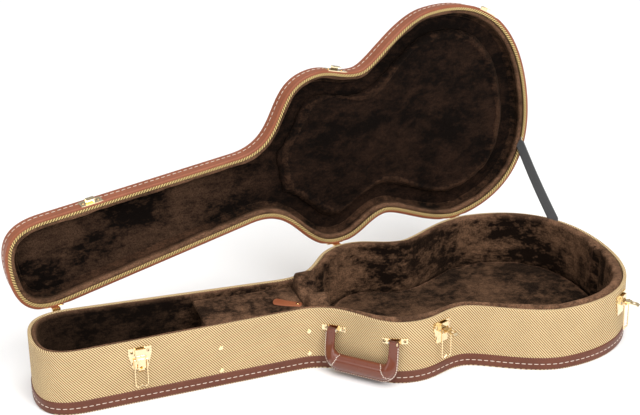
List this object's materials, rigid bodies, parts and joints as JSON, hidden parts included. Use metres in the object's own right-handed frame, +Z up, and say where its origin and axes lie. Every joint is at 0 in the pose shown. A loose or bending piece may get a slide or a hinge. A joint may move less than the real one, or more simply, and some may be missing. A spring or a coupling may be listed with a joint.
{
  "type": "guitar case",
  "caption": "Shaped hard-shell case with a hinged lid, draw latches, carrying handle and padded plush lining with a covered accessory compartment.",
  "frame": {"origin": "middle of the flat bottom face, on the case's centre line, with the bottom on the floor", "axes": "+X from the head end to the tail end, +Y towards the hinges, +Z up"},
  "size_m": [1.0831, 0.5072, 0.5284],
  "materials": {
    "tweed_shell": "plywood covered in woven gold and tan tweed cloth",
    "leather_binding": "reddish-brown grained leather with white stitching",
    "leather_handle": "smooth brown leather, stitched edges",
    "leather_tab": "smooth orange-brown leather",
    "plush_lining": "dark brown plush on foam",
    "brass_hardware": "polished gold-coloured plating",
    "steel": "plain steel",
    "webbing": "dark grey woven webbing"
  },
  "bodies": {
    "base": {"base_panel": "tweed_shell", "base_wall": "tweed_shell", "base_binding": "leather_binding", "base_lining": "plush_lining", "base_floor_lining": "plush_lining", "floor_pad": "plush_lining", "neck_rest": "plush_lining", "compartment_partitions": "plush_lining", "partition_studs": "brass_hardware", "compartment_hinge_strip": "plush_lining", "latch_plate_1": "brass_hardware", "latch_plate_2": "brass_hardware", "latch_plate_3": "brass_hardware", "latch_rivets": "brass_hardware", "latch_pins": "brass_hardware", "handle_bracket_1": "brass_hardware", "handle_bracket_2": "brass_hardware", "handle_rivets": "brass_hardware", "handle_pins": "brass_hardware", "hinge_leaf_base_1": "brass_hardware", "hinge_leaf_base_2": "brass_hardware", "hinge_leaf_base_3": "brass_hardware", "hinge_rivets_base": "brass_hardware", "hinge_pins": "steel", "stay_anchor_base": "steel", "stay_strap": "webbing"},
    "lid": {"lid_wall": "tweed_shell", "lid_panel": "tweed_shell", "lid_binding": "leather_binding", "lid_lining": "plush_lining", "lid_ceiling": "plush_lining", "lid_pad": "plush_lining", "keeper_1": "brass_hardware", "keeper_2": "brass_hardware", "keeper_3": "brass_hardware", "keeper_rivets": "brass_hardware", "hinge_leaf_lid_1": "brass_hardware", "hinge_leaf_lid_2": "brass_hardware", "hinge_leaf_lid_3": "brass_hardware", "hinge_rivets_lid": "brass_hardware", "stay_anchor_lid": "steel"},
    "compartment_cover": {"compartment_lid": "plush_lining", "pull_tab": "leather_tab", "pull_tab_rivet": "brass_hardware"},
    "handle": {"handle_core": "steel", "handle_grip": "leather_handle", "handle_arm_1": "leather_handle", "handle_arm_2": "leather_handle"},
    "latch_lever_1": {"latch_lever_1": "brass_hardware"},
    "bail_pin_1": {"bail_pin_1": "brass_hardware"},
    "latch_bail_1": {"latch_bail_1": "brass_hardware"},
    "latch_lever_2": {"latch_lever_2": "brass_hardware"},
    "bail_pin_2": {"bail_pin_2": "brass_hardware"},
    "latch_bail_2": {"latch_bail_2": "brass_hardware"},
    "latch_lever_3": {"latch_lever_3": "brass_hardware"},
    "bail_pin_3": {"bail_pin_3": "brass_hardware"},
    "latch_bail_3": {"latch_bail_3": "brass_hardware"}
  },
  "joints": [
    {"name": "lid_hinge", "type": "hinge", "parent": "base", "child": "lid", "pos_m": [0, 0.162, 0.103], "axis": [-0.9874, -0.158, 0], "range_deg": [-92, 0], "deforming": ["stay_strap"]},
    {"name": "compartment_hinge", "type": "hinge", "parent": "base", "child": "compartment_cover", "pos_m": [-0.2293, 0, 0.095], "axis": [0, -1, 0], "range_deg": [0, 88]},
    {"name": "handle_swing", "type": "hinge", "parent": "base", "child": "handle", "pos_m": [-0.03583, -0.08704, 0.079], "axis": [-0.7, 0.7141, 0], "range_deg": [0, 110]},
    {"name": "lever_swing_1", "type": "hinge", "parent": "base", "child": "latch_lever_1", "pos_m": [-0.36178, -0.08059, 0.087], "axis": [-0.9991, -0.0419, 0], "range_deg": [0, 95]},
    {"name": "bail_pin_turn_1", "type": "hinge", "parent": "latch_lever_1", "child": "bail_pin_1", "pos_m": [-0.36181, -0.07999, 0.08], "axis": [-0.9991, -0.0419, 0], "range_deg": [-95, 0]},
    {"name": "bail_swing_1", "type": "hinge", "parent": "bail_pin_1", "child": "latch_bail_1", "pos_m": [-0.36181, -0.07999, 0.08], "axis": [-0.9991, -0.0419, 0], "range_deg": [-2, 172]},
    {"name": "lever_swing_2", "type": "hinge", "parent": "base", "child": "latch_lever_2", "pos_m": [0.13599, -0.16197, 0.087], "axis": [-0.924, -0.3825, 0], "range_deg": [-90, 5]},
    {"name": "bail_pin_turn_2", "type": "hinge", "parent": "latch_lever_2", "child": "bail_pin_2", "pos_m": [0.13867, -0.16844, 0.0864], "axis": [-0.924, -0.3825, 0], "range_deg": [-5, 90]},
    {"name": "bail_swing_2", "type": "hinge", "parent": "bail_pin_2", "child": "latch_bail_2", "pos_m": [0.13867, -0.16844, 0.0864], "axis": [-0.924, -0.3825, 0], "range_deg": [-2, 172]},
    {"name": "lever_swing_3", "type": "hinge", "parent": "base", "child": "latch_lever_3", "pos_m": [0.46825, -0.17488, 0.087], "axis": [-0.7812, -0.6242, 0], "range_deg": [-90, 5]},
    {"name": "bail_pin_turn_3", "type": "hinge", "parent": "latch_lever_3", "child": "bail_pin_3", "pos_m": [0.47262, -0.18035, 0.0864], "axis": [-0.7812, -0.6242, 0], "range_deg": [-5, 90]},
    {"name": "bail_swing_3", "type": "hinge", "parent": "bail_pin_3", "child": "latch_bail_3", "pos_m": [0.47262, -0.18035, 0.0864], "axis": [-0.7812, -0.6242, 0], "range_deg": [-2, 172]}
  ],
  "couplings": [
    {"joint": "bail_pin_turn_1", "follows": "lever_swing_1", "ratio": -1},
    {"joint": "bail_pin_turn_2", "follows": "lever_swing_2", "ratio": -1},
    {"joint": "bail_pin_turn_3", "follows": "lever_swing_3", "ratio": -1}
  ]
}
